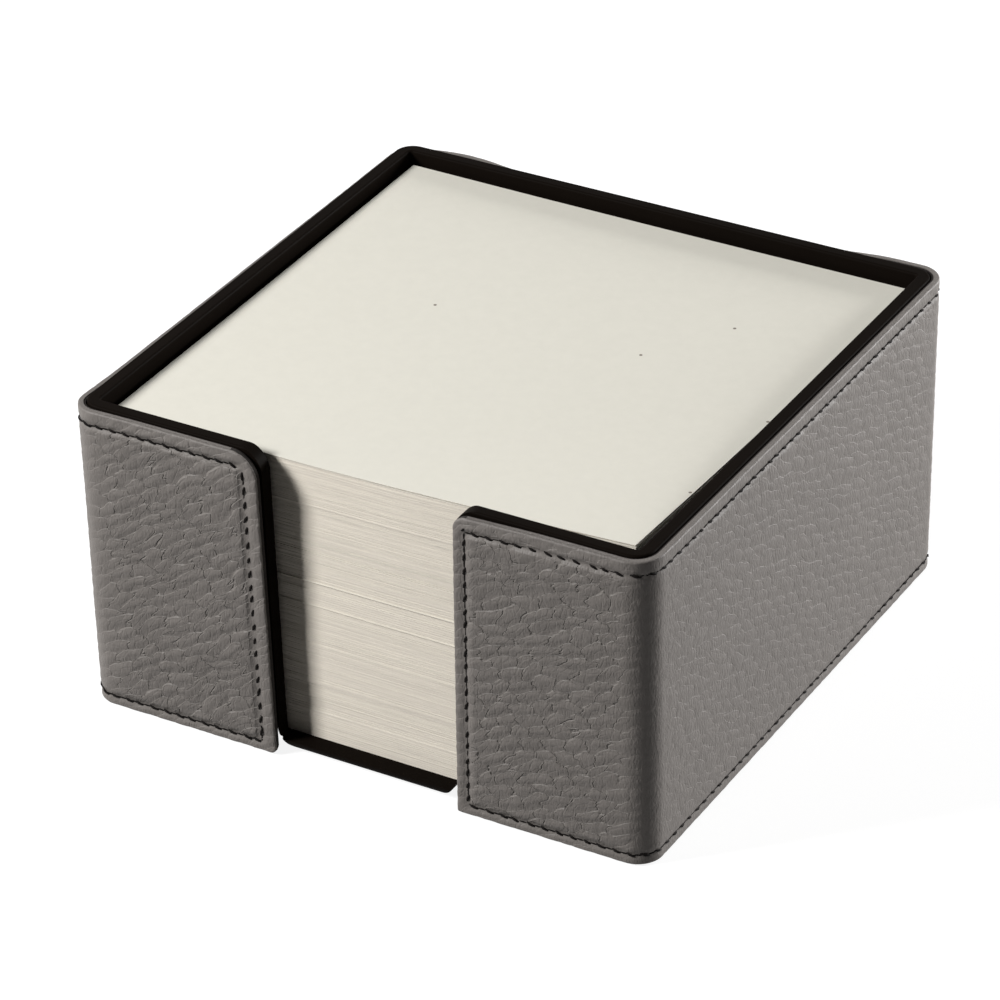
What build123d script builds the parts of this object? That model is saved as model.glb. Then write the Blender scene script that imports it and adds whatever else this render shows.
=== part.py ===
# Memo box: a black moulded tray with a finger notch, wrapped in a sewn leather cover and
# filled with loose square note sheets. Millimetres, +Z up, the notch faces -Y.
# The origin is on the table, under the middle of the box.
import os

from build123d import *

os.makedirs("parts", exist_ok=True)

# Note sheets, which the whole box is made to fit
sheet_width = 90.0           # left to right
sheet_length = 90.0          # front to back
sheet_thickness = 0.101
sheet_clearance = 1.3        # sheets to the walls of the tray, at the rim
bundle_sheets = 40           # sheets in one bundle
bundle_count = 12
bundle_air = 0.02            # loose sheets never lie quite flat on each other
bundle_wander = 0.25         # how far a bundle slides off the middle of the pile
wander_turn = 137.5          # degrees round from the way one bundle slid to the next one's

# Whole box
rim_height = 53.6            # table to the top of the tray's rim
wall_lean = 0.5              # how far each side leans out between the table and the rim
corner_radius = 4.6          # outside of the cover's upright corners, at the rim
overrun = 2.0                # how far a cut runs past what it cuts

# Sewn cover
leather_thickness = 0.9
backing_thickness = 0.3
cover_foot = 0.3             # table to the cover's lower edge, which the felt lifts clear
cover_drop = 0.15            # rim to the cover's upper edge
gap_width_low = 32.2         # between the two front flaps, at their lower ends
gap_width_high = 33.8        # between the two front flaps, at their upper ends
gap_shift = 0.55             # the cover sits a little to the right on the tray
left_flap_radius = 4.5       # upper corner of the left flap
right_flap_radius = 2.2      # upper corner of the right flap

# Lockstitch seam
needle_width = 0.6
needle_height = 0.25         # how far the outer thread stands off the leather
bobbin_width = 0.5
bobbin_height = 0.15         # how far the inner thread stands off the backing
top_row_inset = 2.4          # cover's upper edge to the upper row
foot_row_inset = 1.7         # cover's lower edge to the lower row
left_row_inset = 2.4         # end of the left flap to its row
right_row_inset = 1.9        # end of the right flap to its row

# Tape between the cover and the tray
tape_thickness = 0.25
tape_margin = 5.0            # tape to the edges of the cover, clear of the seam

# Tray
wall_thickness = 2.25
floor_thickness = 1.85
rim_edge_radius = 0.4
well_corner_radius = 0.6     # upright corners inside the tray
foot_radius = 2.2            # lower outside edge of the tray
foot_round_share = 0.95      # most of an upright corner's radius that the lower edge may take
notch_width = 33.1           # finger notch in the front wall, at the rim
notch_taper = 0.625          # how far each end of the notch leans in between the rim and the floor
notch_shift = 0.375          # the notch sits a little to the right, as the cover does
notch_corner_radius = 4.0
sill_inset = 0.18            # half the notch at the floor less half the sill that closes it below
sill_shift = -0.18           # the sill sits a little to the left
sill_corner_radius = 3.8     # lower corners of the sill, seen from the front
sill_corner_lift = 0.4       # underside of the tray to where those corners begin
relief_width = 4.4           # openings in the front wall beside the sill
relief_height = 5.0          # underside of the tray to the top of those openings
relief_depth = 5.6           # front of the tray to the back of those openings
left_relief_skew = 30.0      # degrees that the left opening runs to the left of straight back

# Felt under the floor
felt_thickness = 0.6
felt_setback = 0.9           # back of the openings beside the sill to the felt
felt_corner_radius = 3.0

# Heights and insets that follow from these
cover_top = rim_height - cover_drop
tray_underside = felt_thickness
floor_top = tray_underside + floor_thickness
bundle_height = bundle_sheets * sheet_thickness
bundle_step = bundle_height + bundle_air
pile_top = floor_top + bundle_count * bundle_step
backing_inset = leather_thickness
tape_inset = backing_inset + backing_thickness
tray_inset = tape_inset + tape_thickness
well_inset = tray_inset + wall_thickness
box_width = sheet_width + 2 * (sheet_clearance + well_inset)
box_depth = sheet_length + 2 * (sheet_clearance + well_inset)
felt_inset = tray_inset + relief_depth + felt_setback


def half_width(height, inset):
    """Half the box from left to right at a height, so far in from the cover's outer face."""
    return box_width / 2 - wall_lean * (1 - height / rim_height) - inset


def half_depth(height, inset):
    """Half the box from front to back at a height, so far in from the cover's outer face."""
    return box_depth / 2 - wall_lean * (1 - height / rim_height) - inset


def outer_radius(height, inset):
    """Radius of the box's upright corners at a height, so far in from the cover's outer face."""
    return corner_radius - wall_lean * (1 - height / rim_height) - inset


def leaning_block(low, high, inset, radius=None, mode=Mode.ADD):
    """Block with the box's leaning sides; its corners are the box's own unless a radius is given."""
    sections = []
    for height in (low, high):
        with BuildSketch(Plane.XY.offset(height)) as section:
            RectangleRounded(
                2 * half_width(height, inset),
                2 * half_depth(height, inset),
                radius or outer_radius(height, inset),
            )
        sections.append(section.sketch)
    loft(sections, ruled=True, mode=mode)


def front_notch(low, high, left_low, left_high, right_low, right_high, left_radius, right_radius):
    """Cuts the front wall open from a low height to its top and rounds the two upper corners."""
    left_flare = left_high - 2 * left_radius
    right_flare = right_high + 2 * right_radius
    with BuildSketch(Plane.XZ) as opening:
        with BuildLine():
            Polyline(
                (left_low, low),
                (left_high, high),
                (left_flare, high),
                (left_flare, high + overrun),
                (right_flare, high + overrun),
                (right_flare, high),
                (right_high, high),
                (right_low, low),
                close=True,
            )
        make_face()
        fillet(opening.vertices().sort_by_distance((left_high, high))[0], left_radius)
        fillet(opening.vertices().sort_by_distance((right_high, high))[0], right_radius)
    extrude(opening.sketch, amount=box_depth, mode=Mode.SUBTRACT)


def flap_end(side, height):
    """Place across the front where a flap ends at a height: side is -1 for the left flap, 1 for the right."""
    rise_share = (height - cover_foot) / (cover_top - cover_foot)
    return gap_shift + side * (gap_width_low + (gap_width_high - gap_width_low) * rise_share) / 2


def cover_gap():
    """Opens a layer of the cover between its two front flaps."""
    front_notch(
        -overrun,
        cover_top,
        flap_end(-1, -overrun),
        flap_end(-1, cover_top),
        flap_end(1, -overrun),
        flap_end(1, cover_top),
        left_flap_radius,
        right_flap_radius,
    )


# Tray: hollow block with a rounded foot and rim, cut open at the front
foot_round = min(foot_radius, foot_round_share * outer_radius(tray_underside, tray_inset))
relief_top = tray_underside + relief_height
tray_front = half_depth(relief_top, tray_inset)
half_notch = notch_width / 2
half_notch_foot = half_notch - notch_taper
with BuildPart() as tray:
    leaning_block(tray_underside, rim_height, tray_inset)
    fillet(tray.faces().sort_by(Axis.Z)[0].edges(), foot_round)
    leaning_block(floor_top, rim_height + overrun, well_inset, well_corner_radius, Mode.SUBTRACT)
    fillet(tray.faces().sort_by(Axis.Z)[-1].edges(), rim_edge_radius)
    front_notch(
        floor_top,
        rim_height,
        notch_shift - half_notch_foot,
        notch_shift - half_notch,
        notch_shift + half_notch_foot,
        notch_shift + half_notch,
        notch_corner_radius,
        notch_corner_radius,
    )
    for side, skew in ((-1, left_relief_skew), (1, 0)):
        inward = Vector(0, 1, 0).rotate(Axis.Z, skew)
        lead = inward * (overrun / inward.Y)
        sill_end = sill_shift + side * (half_notch_foot - sill_inset) - lead.X
        relief_end = sill_end + side * relief_width
        sill_flat_end = sill_end - side * (sill_corner_radius + sill_corner_lift)
        corner_foot = tray_underside + sill_corner_lift
        with BuildSketch(Plane.XZ.offset(tray_front + overrun)) as relief:
            with BuildLine():
                Polyline(
                    (relief_end, tray_underside - overrun),
                    (relief_end, relief_top),
                    (sill_end, relief_top),
                    (sill_end, corner_foot),
                    (sill_flat_end, corner_foot),
                    (sill_flat_end, tray_underside - overrun),
                    close=True,
                )
            make_face()
            fillet(relief.vertices().sort_by_distance((sill_end, corner_foot))[0], sill_corner_radius)
        extrude(amount=(relief_depth + overrun) / inward.Y, dir=inward, mode=Mode.SUBTRACT)
tray.part.label = "tray"
export_step(tray.part, "parts/tray.step")

# Leather cover: one strip round the four walls, with a flap on each side of the notch
with BuildPart() as leather_cover:
    leaning_block(cover_foot, cover_top, 0)
    leaning_block(-overrun, rim_height + overrun, backing_inset, mode=Mode.SUBTRACT)
    cover_gap()
leather_cover.part.label = "leather_cover"
export_step(leather_cover.part, "parts/leather_cover.step")

# Backing: the thin layer that the leather is sewn to, trimmed with it
with BuildPart() as cover_backing:
    leaning_block(cover_foot, cover_top, backing_inset)
    leaning_block(-overrun, rim_height + overrun, tape_inset, mode=Mode.SUBTRACT)
    cover_gap()
cover_backing.part.label = "cover_backing"
export_step(cover_backing.part, "parts/cover_backing.step")

# Bonding tape: a band between the cover and the tray, clear of the seam
tape_low = cover_foot + tape_margin
tape_high = cover_top - tape_margin
with BuildPart() as bonding_tape:
    leaning_block(tape_low, tape_high, tape_inset)
    leaning_block(tape_low - overrun, tape_high + overrun, tray_inset, mode=Mode.SUBTRACT)
    with BuildSketch(Plane.XZ) as bare_front:
        with Locations((gap_shift, (tape_low + tape_high) / 2)):
            Rectangle(gap_width_high + 2 * tape_margin, tape_high - tape_low + overrun)
    extrude(amount=box_depth, mode=Mode.SUBTRACT)
bonding_tape.part.label = "bonding_tape"
export_step(bonding_tape.part, "parts/bonding_tape.step")

# Heights of the two long seam rows
top_row_height = cover_top - top_row_inset
foot_row_height = cover_foot + foot_row_inset


def flap_row_place(side, height):
    """Place across the front of a flap's upright seam row at a height."""
    return flap_end(side, height) + side * (left_row_inset if side < 0 else right_row_inset)


def seam_loop(width, outer_inset, inner_inset):
    """Closed loop of thread along the seam: round the box above and below, and up and down each flap."""
    low = foot_row_height - width / 2
    high = top_row_height + width / 2
    window_low = foot_row_height + width / 2
    window_high = top_row_height - width / 2
    leaning_block(low, high, outer_inset)
    leaning_block(low - overrun, high + overrun, inner_inset, mode=Mode.SUBTRACT)
    with BuildSketch(Plane.XZ) as side_windows:
        for side in (-1, 1):
            with BuildLine():
                Polyline(
                    (side * box_width, window_low),
                    (side * box_width, window_high),
                    (flap_row_place(side, window_high) + side * width / 2, window_high),
                    (flap_row_place(side, window_low) + side * width / 2, window_low),
                    close=True,
                )
            make_face()
    extrude(side_windows.sketch, amount=box_depth, both=True, mode=Mode.SUBTRACT)
    with BuildSketch(Plane.XZ) as back_window:
        with Locations((0, (window_low + window_high) / 2)):
            Rectangle(box_width, window_high - window_low)
    extrude(back_window.sketch, amount=-box_depth, mode=Mode.SUBTRACT)
    with BuildSketch(Plane.XZ) as front_gap:
        with BuildLine():
            Polyline(
                (flap_row_place(-1, low - overrun) + width / 2, low - overrun),
                (flap_row_place(-1, high + overrun) + width / 2, high + overrun),
                (flap_row_place(1, high + overrun) - width / 2, high + overrun),
                (flap_row_place(1, low - overrun) - width / 2, low - overrun),
                close=True,
            )
        make_face()
    extrude(front_gap.sketch, amount=box_depth, mode=Mode.SUBTRACT)


# Needle thread: the side of the seam that shows on the leather
with BuildPart() as needle_thread:
    seam_loop(needle_width, -needle_height, 0)
needle_thread.part.label = "needle_thread"
export_step(needle_thread.part, "parts/needle_thread.step")

# Bobbin thread: the side of the seam on the back of the cover, beside the tape
with BuildPart() as bobbin_thread:
    seam_loop(bobbin_width, tape_inset, tape_inset + bobbin_height)
bobbin_thread.part.label = "bobbin_thread"
export_step(bobbin_thread.part, "parts/bobbin_thread.step")

# Felt: a sheet under the tray's floor that the box stands on
with BuildPart() as base_felt:
    with BuildSketch(Plane.XY):
        RectangleRounded(
            2 * half_width(tray_underside, felt_inset),
            2 * half_depth(tray_underside, felt_inset),
            felt_corner_radius,
        )
    extrude(amount=felt_thickness)
base_felt.part.label = "base_felt"
export_step(base_felt.part, "parts/base_felt.step")

# Note sheets: bundles that lie on each other, each a little off the middle
with BuildPart() as memo_sheets:
    for bundle in range(bundle_count):
        slide = Vector(bundle_wander, 0, 0).rotate(Axis.Z, bundle * wander_turn)
        with BuildSketch(Plane.XY.offset(floor_top + bundle * bundle_step)):
            with Locations((slide.X, slide.Y)):
                Rectangle(sheet_width, sheet_length)
        extrude(amount=bundle_height)
memo_sheets.part.label = "memo_sheets"
export_step(memo_sheets.part, "parts/memo_sheets.step")

# Top sheet: the loose sheet that is taken next
with BuildPart() as top_sheet:
    with BuildSketch(Plane.XY.offset(pile_top)):
        Rectangle(sheet_width, sheet_length)
    extrude(amount=sheet_thickness)
top_sheet.part.label = "top_sheet"
export_step(top_sheet.part, "parts/top_sheet.step")
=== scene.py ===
"""Dresses the packed memo box: leather cover, sewn seam, note sheets, tray, felt and stage."""
import math

import bpy
import numpy as np
from mathutils import Matrix, Vector


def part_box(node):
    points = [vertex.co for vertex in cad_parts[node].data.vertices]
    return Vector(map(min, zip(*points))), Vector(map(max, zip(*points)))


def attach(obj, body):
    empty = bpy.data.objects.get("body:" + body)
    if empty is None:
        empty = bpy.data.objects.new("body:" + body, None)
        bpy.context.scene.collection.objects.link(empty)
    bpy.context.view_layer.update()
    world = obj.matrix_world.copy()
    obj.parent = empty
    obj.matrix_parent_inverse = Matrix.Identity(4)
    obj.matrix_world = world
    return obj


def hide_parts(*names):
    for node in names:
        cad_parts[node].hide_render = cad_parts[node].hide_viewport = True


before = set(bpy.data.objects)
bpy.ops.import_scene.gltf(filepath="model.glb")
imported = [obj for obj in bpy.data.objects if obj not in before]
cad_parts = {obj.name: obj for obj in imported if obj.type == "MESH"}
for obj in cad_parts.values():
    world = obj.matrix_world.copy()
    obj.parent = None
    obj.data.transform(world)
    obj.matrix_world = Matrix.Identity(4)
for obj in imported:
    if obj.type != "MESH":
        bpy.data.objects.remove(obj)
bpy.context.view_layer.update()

bl_info = {
    "name": "Memo Box",
    "version": (1, 0, 0),
    "blender": (4, 5, 0),
    "location": "3D View > Sidebar > Memo Box",
    "description": "Leather cover, sewn seam, note sheets, tray, felt and stage of a memo box",
    "category": "Object",
}

MM = 0.001

# The tray and the cover, in the frame's own sizes.
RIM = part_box("tray")[1].z
COVER_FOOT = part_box("leather_cover")[0].z
COVER_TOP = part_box("leather_cover")[1].z
LEATHER = 0.9 * MM              # thickness of the leather
BACKING = 0.3 * MM              # thickness of the cloth sewn behind it
BACKING_RECESS = 0.12 * MM      # how far the cloth stays short of the leather's edges
BACKING_GAP = 0.005 * MM        # room between the cloth and the leather
CORNER = 4.6 * MM               # corner radius of the cover at the rim
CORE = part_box("leather_cover")[1].x - CORNER    # half side of the square between the corner arcs
LEAN = 0.5 * MM                 # how far each wall leans in at the table
ARC = (CORNER - LEAN / 2) * math.pi / 2
LAP = 2 * CORE + ARC            # one side and one corner, along the cover

# The two flaps at the front: where they end at the foot and at the top, and how they are rounded.
FLAP_ENDS = {1: (-15.55 * MM, -16.35 * MM), -1: (16.65 * MM, 17.45 * MM)}
FLAP_TOP_ROUND = {1: 4.5 * MM, -1: 2.2 * MM}
FLAP_FOOT_ROUND = {1: 1.0 * MM, -1: 0.4 * MM}
EDGE_ROUND = 0.3 * MM           # wear on the outer edge of the cut leather

# The cover's top edge lies lower at the back, the left and the right flap's end:
# (place along the cover, drop) in mm.
TOP_DROPS = (
    (-180, 0.5), (-172, 0.3), (-166, 0.05), (-160, 0), (-53, 0), (-47, 0.05), (-38, 0.1),
    (-33, 0.8), (-20, 1.25), (0, 1.35), (20, 1.2), (29, 0.9), (33, 0.25), (40, 0.2), (44, 0.9),
    (50, 1.25), (60, 1.2), (100, 1.0), (135, 0.75), (143, 0.45), (150, 0.1), (156, 0), (180, 0),
)

# The grain's creases slope differently round the hide: (place along the cover in mm, degrees).
GRAIN_SLOPES = (
    (-180, 22), (-150, 14), (-135, -14), (-95, -22), (-50, -20), (0, 12), (48, 20), (95, -12),
    (135, 18), (150, 28), (180, 33),
)

# The pebbles of the grain, in shares of one pebble.
ROW_SHIFT = 0.43                # how far each row lies along from the next
ROW_SWAY = (1.0, 0.7, 0)        # how far the rows wander, along and across
DOME_LOW, DOME_HIGH = 0.9, 1.25     # reach of a pebble at its sides and at its middle
DOME_CHANCE = 0.4               # how much further a pebble may reach
SIDE_GROOVE = 0.45              # height left in the groove between two pebbles of a row
TIP_FALL = 0.7                  # how far a pebble falls away below its edge
PRESSED_CREASE = 0.4            # width of the creases that are pressed into the mesh
CRISP_CREASE = 0.1              # width of the creases that the material draws

# How deep the parts of the grain are, in shares of its set depth.
PRESSED_DEPTH = 0.85            # pebbles pressed into the mesh
CRISP_DEPTH = 0.38              # creases that the material draws
ACROSS_DEPTH = 0.07             # wrinkles across each pebble

# The leather's surface: its mesh, its waves, and how strong its grain is from place to place.
FACE_STEP = 0.66 * MM           # from one column of the mesh to the next
ROW_STEP = 0.37 * MM            # from one row of the mesh to the next
FOOT_ROWS, TOP_ROWS = 8, 22     # rows within the rounding at the foot and at the top
HIDE_WAVE = 0.07 * MM           # how far the hide waves
SIDE_GRAIN, FRONT_GRAIN = 0.74, 1.46    # on the sides and the back, and on the front flaps
CORNER_FLAT = 4.2 * MM          # how far from a corner's middle the grain is pulled flat
EDGE_FLAT = 3 * MM              # how far from a cut edge the grain is pressed flatter

# The seam's rows, from the cover's edges.
TOP_ROW = 2.4 * MM
FOOT_ROW = 1.7 * MM
FLAP_ROWS = {1: 2.4 * MM, -1: 1.9 * MM}
SEAM_GROOVE = 0.2 * MM          # how deep the thread draws the leather in
SEAM_REACH = 0.5 * MM           # how far from a row that groove reaches
PLY_LAY = 0.9 * MM              # length of one turn of the thread's two plies
SLOT_HALF = 0.16 * MM           # half the width of the dark slot of painted shade between two stitches

# The note sheets.
SHEET = 90 * MM
SHEET_THICK = 0.0995 * MM
PILE_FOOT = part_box("memo_sheets")[0].z
PILE_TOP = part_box("memo_sheets")[1].z
BUNDLE = 24                     # sheets that were put in together and lie alike
NEAR_START, NEAR_LENGTH = 24 * MM, 39.6 * MM    # bend towards the front right corner
FAR_START, FAR_LENGTH = 20 * MM, 43.6 * MM      # bend towards the back left corner
FAR_CURL = 0.45 * MM            # how far the back left corner stands up

FELT_LOW, FELT_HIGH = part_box("base_felt")
FELT_CORNER = 3 * MM            # corner radius of the felt

# What all settings of a kind have in common.
COLOUR = {"subtype": "COLOR", "size": 3, "min": 0, "max": 1}
LENGTH = {"subtype": "DISTANCE", "unit": "LENGTH", "precision": 5}
TURN = {"subtype": "ANGLE", "unit": "ROTATION"}
POWER = {"subtype": "POWER", "unit": "POWER", "min": 0}


def linear(hex_colour):
    """An sRGB hex colour as linear red, green and blue."""
    parts = [int(hex_colour[at:at + 2], 16) / 255 for at in (0, 2, 4)]
    return tuple(p / 12.92 if p <= 0.04045 else ((p + 0.055) / 1.055) ** 2.4 for p in parts)


class LeatherSettings(bpy.types.PropertyGroup):
    """Sizes and colours of the leather cover and its seam."""

    colour: bpy.props.FloatVectorProperty(
        name="Leather", description="Colour of the dyed leather", default=linear("6c6763"), **COLOUR)
    thread_colour: bpy.props.FloatVectorProperty(
        name="Thread", description="Colour of the sewing thread", default=linear("0e0c0b"), **COLOUR)
    grain_length: bpy.props.FloatProperty(
        name="Grain length", description="Length of one pebble of the grain", default=4.1 * MM,
        min=1 * MM, **LENGTH)
    grain_height: bpy.props.FloatProperty(
        name="Grain height", description="Height of one pebble of the grain", default=2.1 * MM,
        min=0.5 * MM, **LENGTH)
    grain_depth: bpy.props.FloatProperty(
        name="Grain depth", description="Depth of the creases between the pebbles",
        default=0.24 * MM, min=0, **LENGTH)
    stitch_pitch: bpy.props.FloatProperty(
        name="Stitch pitch", description="Distance from one stitch to the next",
        default=2.4 * MM, min=1 * MM, **LENGTH)
    stitch_length: bpy.props.FloatProperty(
        name="Stitch length", description="Length of thread that shows in one stitch",
        default=1.9 * MM, min=0.5 * MM, **LENGTH)
    stitch_slant: bpy.props.FloatProperty(
        name="Stitch slant", description="Angle between a stitch and its row",
        default=math.radians(18), **TURN)
    thread_width: bpy.props.FloatProperty(
        name="Thread width", description="Width of the thread as it lies", default=0.42 * MM,
        min=0.1 * MM, **LENGTH)


class PaperSettings(bpy.types.PropertyGroup):
    """Count, scatter and colour of the note sheets."""

    colour: bpy.props.FloatVectorProperty(
        name="Paper", description="Colour of the note paper", default=linear("d7d4c9"), **COLOUR)
    edge_colour: bpy.props.FloatVectorProperty(
        name="Cut edge", description="Colour of the sheets' cut edges", default=linear("d5cdc1"),
        **COLOUR)
    sheets: bpy.props.IntProperty(
        name="Sheets", description="Number of sheets in the pile", default=480, min=1)
    scatter: bpy.props.FloatProperty(
        name="Scatter", description="How far the sheets stray from an even pile",
        default=0.075 * MM, min=0, **LENGTH)
    curl: bpy.props.FloatProperty(
        name="Corner curl", description="How far the front right corner of the pile stands up",
        default=1.85 * MM, min=0, **LENGTH)


class TraySettings(bpy.types.PropertyGroup):
    """Colours of the tray and of what is fixed to it."""

    colour: bpy.props.FloatVectorProperty(
        name="Tray", description="Colour of the moulded tray", default=linear("120e0b"), **COLOUR)
    backing_colour: bpy.props.FloatVectorProperty(
        name="Backing", description="Colour of the cloth behind the leather",
        default=linear("2b2725"), **COLOUR)
    felt_colour: bpy.props.FloatVectorProperty(
        name="Felt", description="Colour of the felt under the tray", default=linear("262322"),
        **COLOUR)
    tape_colour: bpy.props.FloatVectorProperty(
        name="Tape", description="Colour of the double-sided tape", default=linear("cbc8c0"),
        **COLOUR)


class StageSettings(bpy.types.PropertyGroup):
    """Camera, lamps and floor."""

    camera_place: bpy.props.FloatVectorProperty(
        name="Camera", description="Place of the camera", subtype="TRANSLATION", unit="LENGTH",
        size=3, default=(328.61 * MM, -568.62 * MM, 421.85 * MM))
    azimuth: bpy.props.FloatProperty(
        name="Azimuth", description="Way the camera looks, 0 along +Y",
        default=math.radians(30.293), **TURN)
    elevation: bpy.props.FloatProperty(
        name="Elevation", description="How far the camera looks down",
        default=math.radians(31.207), **TURN)
    roll: bpy.props.FloatProperty(
        name="Roll", description="Tilt of the camera about its own axis",
        default=math.radians(-1.299), **TURN)
    lens: bpy.props.FloatProperty(
        name="Lens", description="Focal length on a 36 mm sensor", subtype="DISTANCE_CAMERA",
        default=175.71, min=1)
    left_lamp: bpy.props.FloatProperty(
        name="Left lamp", description="Power of the soft lamp at the left front", default=9.6, **POWER)
    back_lamp: bpy.props.FloatProperty(
        name="Back lamp", description="Power of the soft lamp at the right, behind", default=10.4,
        **POWER)
    top_lamp: bpy.props.FloatProperty(
        name="Top lamp", description="Power of the soft lamp above the back", default=0.35, **POWER)
    ambient: bpy.props.FloatProperty(
        name="Ambient", description="Light from all round", default=0.01, min=0)
    floor_colour: bpy.props.FloatVectorProperty(
        name="Floor", description="Colour of the floor", default=linear("808080"), **COLOUR)


def new_material(name):
    """An empty node material."""
    material = bpy.data.materials.new(name)
    material.use_nodes = True
    material.node_tree.nodes.clear()
    return material


def add_node(tree, kind, settings=None, links=None):
    """Adds a node: settings go to its sockets or properties, links join sockets to its inputs."""
    node = tree.nodes.new(kind)
    for key, value in (settings or {}).items():
        if isinstance(key, int) or key in node.inputs:
            node.inputs[key].default_value = value
        else:
            setattr(node, key, value)
    for key, source in (links or {}).items():
        tree.links.new(source, node.inputs[key])
    return node


def rgba(colour):
    """A linear colour with full alpha."""
    return (*colour, 1.0)


def toned(colour, share):
    """A linear colour made darker or lighter by a share, with full alpha."""
    return rgba(part * share for part in colour)


def two_tone_material(name, colour, shares, pattern, surface, bump=None):
    """A material of two tones of a colour, mixed by one pattern and raised by it.

    pattern is the kind of a texture node and its settings, surface the shader's settings, and bump
    the strength and height of the relief.
    """
    material = new_material(name)
    tree = material.node_tree
    place = add_node(tree, "ShaderNodeTexCoord").outputs["Object"]
    pattern = add_node(tree, *pattern, {"Vector": place}).outputs["Fac"]
    tint = add_node(
        tree, "ShaderNodeMix",
        {"data_type": "RGBA", 6: toned(colour, shares[0]), 7: toned(colour, shares[1])}, {0: pattern})
    links = {"Base Color": tint.outputs[2]}
    if bump:
        raised = add_node(
            tree, "ShaderNodeBump", {"Strength": bump[0], "Distance": bump[1]}, {"Height": pattern})
        links["Normal"] = raised.outputs[0]
    surface = add_node(tree, "ShaderNodeBsdfPrincipled", surface, links)
    add_node(tree, "ShaderNodeOutputMaterial", None, {"Surface": surface.outputs[0]})
    return material


def seen_directly(tree):
    """Adds nodes that give 1 where the camera sees a thing, also in a gloss or through glass."""
    path = add_node(tree, "ShaderNodeLightPath")
    seen = add_node(
        tree, "ShaderNodeMath", {"operation": "MAXIMUM"},
        {0: path.outputs["Is Camera Ray"], 1: path.outputs["Is Glossy Ray"]})
    return add_node(
        tree, "ShaderNodeMath", {"operation": "MAXIMUM"},
        {0: seen.outputs[0], 1: path.outputs["Is Transmission Ray"]}).outputs[0]


def pebble_relief(tree, place, crease):
    """Adds the pebble pattern to a material's or a geometry's nodes and gives its height socket.

    The pebbles lie in rows like scales: each has a domed upper edge that overlaps the row above, and
    falls away towards its foot. crease is how wide the crease at a pebble's edge is.
    """
    sway = add_node(
        tree, "ShaderNodeTexNoise",
        {"noise_dimensions": "2D", "Scale": 0.9, "Detail": 2.0, "Roughness": 0.5}, {"Vector": place})
    place = add_node(
        tree, "ShaderNodeVectorMath", {"operation": "MULTIPLY_ADD", 1: ROW_SWAY},
        {0: sway.outputs["Color"], 2: place})
    place = add_node(tree, "ShaderNodeSeparateXYZ", None, {0: place.outputs[0]})
    own_row = add_node(tree, "ShaderNodeMath", {"operation": "FLOOR"}, {0: place.outputs["Y"]})
    below, beside = [], []
    # a place is on a pebble of its own row, unless one of the row under it reaches up that far
    for step in (0, 1):
        row = add_node(
            tree, "ShaderNodeMath", {"operation": "SUBTRACT", 1: step}, {0: own_row.outputs[0]})
        along = add_node(
            tree, "ShaderNodeMath", {"operation": "MULTIPLY_ADD", 1: ROW_SHIFT},
            {0: row.outputs[0], 2: place.outputs["X"]})
        pebble = add_node(tree, "ShaderNodeMath", {"operation": "FLOOR"}, {0: along.outputs[0]})
        pebble = add_node(tree, "ShaderNodeCombineXYZ", None, {0: pebble.outputs[0], 1: row.outputs[0]})
        chance = add_node(
            tree, "ShaderNodeTexWhiteNoise", {"noise_dimensions": "2D"}, {"Vector": pebble.outputs[0]})
        side = add_node(tree, "ShaderNodeMath", {"operation": "PINGPONG", 1: 0.5}, {0: along.outputs[0]})
        dome = add_node(
            tree, "ShaderNodeMapRange",
            {"interpolation_type": "SMOOTHSTEP", "From Min": -0.2, "From Max": 0.5,
             "To Min": DOME_LOW, "To Max": DOME_HIGH},
            {"Value": side.outputs[0]})
        top = add_node(
            tree, "ShaderNodeMath", {"operation": "MULTIPLY_ADD", 1: DOME_CHANCE},
            {0: chance.outputs["Value"], 2: dome.outputs[0]})
        top = add_node(
            tree, "ShaderNodeMath", {"operation": "ADD"}, {0: top.outputs[0], 1: row.outputs[0]})
        down = add_node(
            tree, "ShaderNodeMath", {"operation": "SUBTRACT"}, {0: top.outputs[0], 1: place.outputs["Y"]})
        below.append(down.outputs[0])
        beside.append(side.outputs[0])
    under = add_node(tree, "ShaderNodeMath", {"operation": "GREATER_THAN", 1: 0.0}, {0: below[1]})
    below = add_node(
        tree, "ShaderNodeMix", {"data_type": "FLOAT"}, {0: under.outputs[0], 2: below[0], 3: below[1]})
    beside = add_node(
        tree, "ShaderNodeMix", {"data_type": "FLOAT"}, {0: under.outputs[0], 2: beside[0], 3: beside[1]})
    lip = add_node(
        tree, "ShaderNodeMapRange",
        {"interpolation_type": "SMOOTHSTEP", "From Min": 0.0, "From Max": crease},
        {"Value": below.outputs[0]})
    groove = add_node(
        tree, "ShaderNodeMapRange",
        {"interpolation_type": "SMOOTHSTEP", "From Min": 0.0, "From Max": 0.5 * crease,
         "To Min": SIDE_GROOVE},
        {"Value": beside.outputs[0]})
    crown = add_node(
        tree, "ShaderNodeMath", {"operation": "MULTIPLY"}, {0: lip.outputs[0], 1: groove.outputs[0]})
    return add_node(
        tree, "ShaderNodeMath", {"operation": "MULTIPLY_ADD", 1: -TIP_FALL},
        {0: below.outputs[0], 2: crown.outputs[0]}).outputs[0]


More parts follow.
